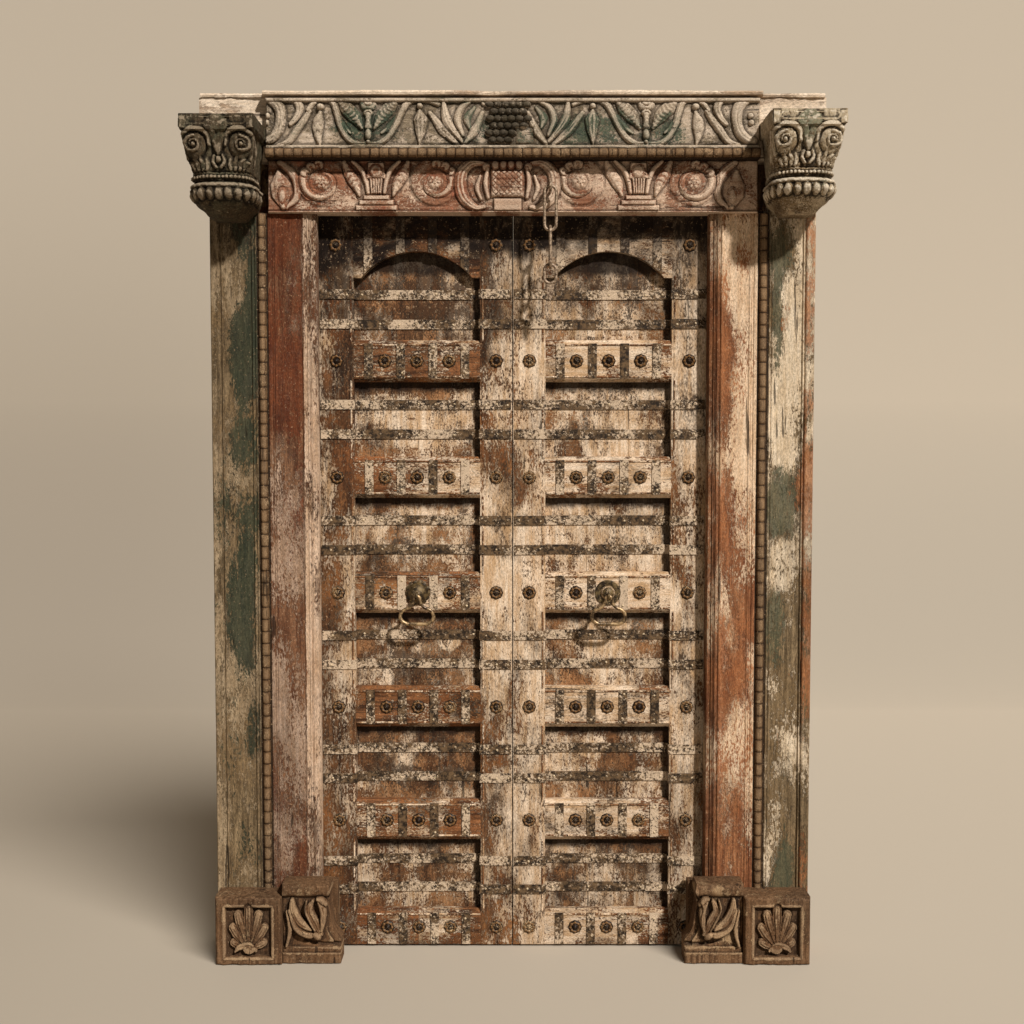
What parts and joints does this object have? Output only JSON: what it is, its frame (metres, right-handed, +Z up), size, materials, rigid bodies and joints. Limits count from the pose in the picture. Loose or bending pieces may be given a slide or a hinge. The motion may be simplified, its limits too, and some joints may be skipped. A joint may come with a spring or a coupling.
{
  "type": "carved temple door",
  "caption": "Double-leaf carved wooden door in its own post-and-lintel frame, with bracket capitals, strapped panels, ring pulls and a hanging chain hasp.",
  "frame": {"origin": "on the floor, in the middle of the whole piece's width and depth", "axes": "+Z up, -Y towards the visitor who faces the door, +X to the visitor's right; the leaves open towards +Y"},
  "size_m": [1.637, 0.31, 2.26],
  "materials": {
    "bleached_wood": "sun-bleached wood with worn cream paint",
    "green_painted_wood": "carved wood with flaking green and cream paint",
    "red_painted_wood": "carved wood with worn red-brown paint",
    "bare_wood": "bare aged wood with dark crevices",
    "leaf_wood": "ochre-brown wood with flaking cream paint",
    "strap_iron": "dark iron speckled with old paint",
    "forged_iron": "rusty forged iron",
    "brass": "dark tarnished brass, worn bright on the ring"
  },
  "bodies": {
    "frame": {"lintel_beam": "bleached_wood", "cap_board": "bleached_wood", "upper_frieze": "green_painted_wood", "bead_course": "bleached_wood", "lower_frieze": "red_painted_wood", "head_beam": "bare_wood", "left_outer_jamb": "green_painted_wood", "right_outer_jamb": "green_painted_wood", "left_bead_string": "bleached_wood", "right_bead_string": "bleached_wood", "left_inner_jamb": "red_painted_wood", "right_inner_jamb": "red_painted_wood", "left_capital": "green_painted_wood", "right_capital": "green_painted_wood", "left_shell_block": "bare_wood", "right_shell_block": "bare_wood", "left_leaf_block": "bare_wood", "right_leaf_block": "bare_wood", "left_foot_socket": "bare_wood", "right_foot_socket": "bare_wood", "chain_staple": "forged_iron"},
    "left_leaf": {"left_hinge_stile": "leaf_wood", "left_meeting_stile": "leaf_wood", "left_top_rail": "leaf_wood", "left_rail_1": "leaf_wood", "left_rail_2": "leaf_wood", "left_rail_3": "leaf_wood", "left_rail_4": "leaf_wood", "left_rail_5": "leaf_wood", "left_bottom_rail": "leaf_wood", "left_board_1": "leaf_wood", "left_board_2": "leaf_wood", "left_board_3": "leaf_wood", "left_cross_straps": "strap_iron", "left_upright_straps": "strap_iron", "left_rosettes": "strap_iron", "left_ring_plate": "brass", "left_ring_boss": "brass"},
    "left_ring": {"left_ring": "brass"},
    "right_leaf": {"right_hinge_stile": "leaf_wood", "right_meeting_stile": "leaf_wood", "right_top_rail": "leaf_wood", "right_rail_1": "leaf_wood", "right_rail_2": "leaf_wood", "right_rail_3": "leaf_wood", "right_rail_4": "leaf_wood", "right_rail_5": "leaf_wood", "right_bottom_rail": "leaf_wood", "right_board_1": "leaf_wood", "right_board_2": "leaf_wood", "right_board_3": "leaf_wood", "right_cross_straps": "strap_iron", "right_upright_straps": "strap_iron", "right_rosettes": "strap_iron", "right_ring_plate": "brass", "right_ring_boss": "brass"},
    "right_ring": {"right_ring": "brass"},
    "upper_link": {"chain_upper_link": "forged_iron"},
    "lower_link": {"chain_lower_link": "forged_iron"},
    "hasp": {"chain_hasp": "forged_iron"}
  },
  "joints": [
    {"name": "left_leaf_pivot", "type": "hinge", "parent": "frame", "child": "left_leaf", "pos_m": [-0.511, 0.106, 0], "axis": [0, 0, 1], "range_deg": [0, 90]},
    {"name": "right_leaf_pivot", "type": "hinge", "parent": "frame", "child": "right_leaf", "pos_m": [0.511, 0.106, 0], "axis": [0, 0, -1], "range_deg": [0, 90]},
    {"name": "left_ring_swing", "type": "hinge", "parent": "left_leaf", "child": "left_ring", "pos_m": [-0.25325, 0.047, 0.958], "axis": [1, 0, 0], "range_deg": [-100, 22]},
    {"name": "right_ring_swing", "type": "hinge", "parent": "right_leaf", "child": "right_ring", "pos_m": [0.25325, 0.047, 0.958], "axis": [1, 0, 0], "range_deg": [-100, 22]},
    {"name": "upper_link_swing", "type": "hinge", "parent": "frame", "child": "upper_link", "pos_m": [0.096, -0.009, 2.017], "axis": [1, 0, 0], "range_deg": [-80, 0]},
    {"name": "lower_link_swing", "type": "hinge", "parent": "upper_link", "child": "lower_link", "pos_m": [0.096, -0.009, 1.9135], "axis": [0, 1, 0], "range_deg": [-40, 40]},
    {"name": "hasp_swing", "type": "hinge", "parent": "lower_link", "child": "hasp", "pos_m": [0.096, -0.009, 1.818], "axis": [1, 0, 0], "range_deg": [-80, 40]}
  ]
}
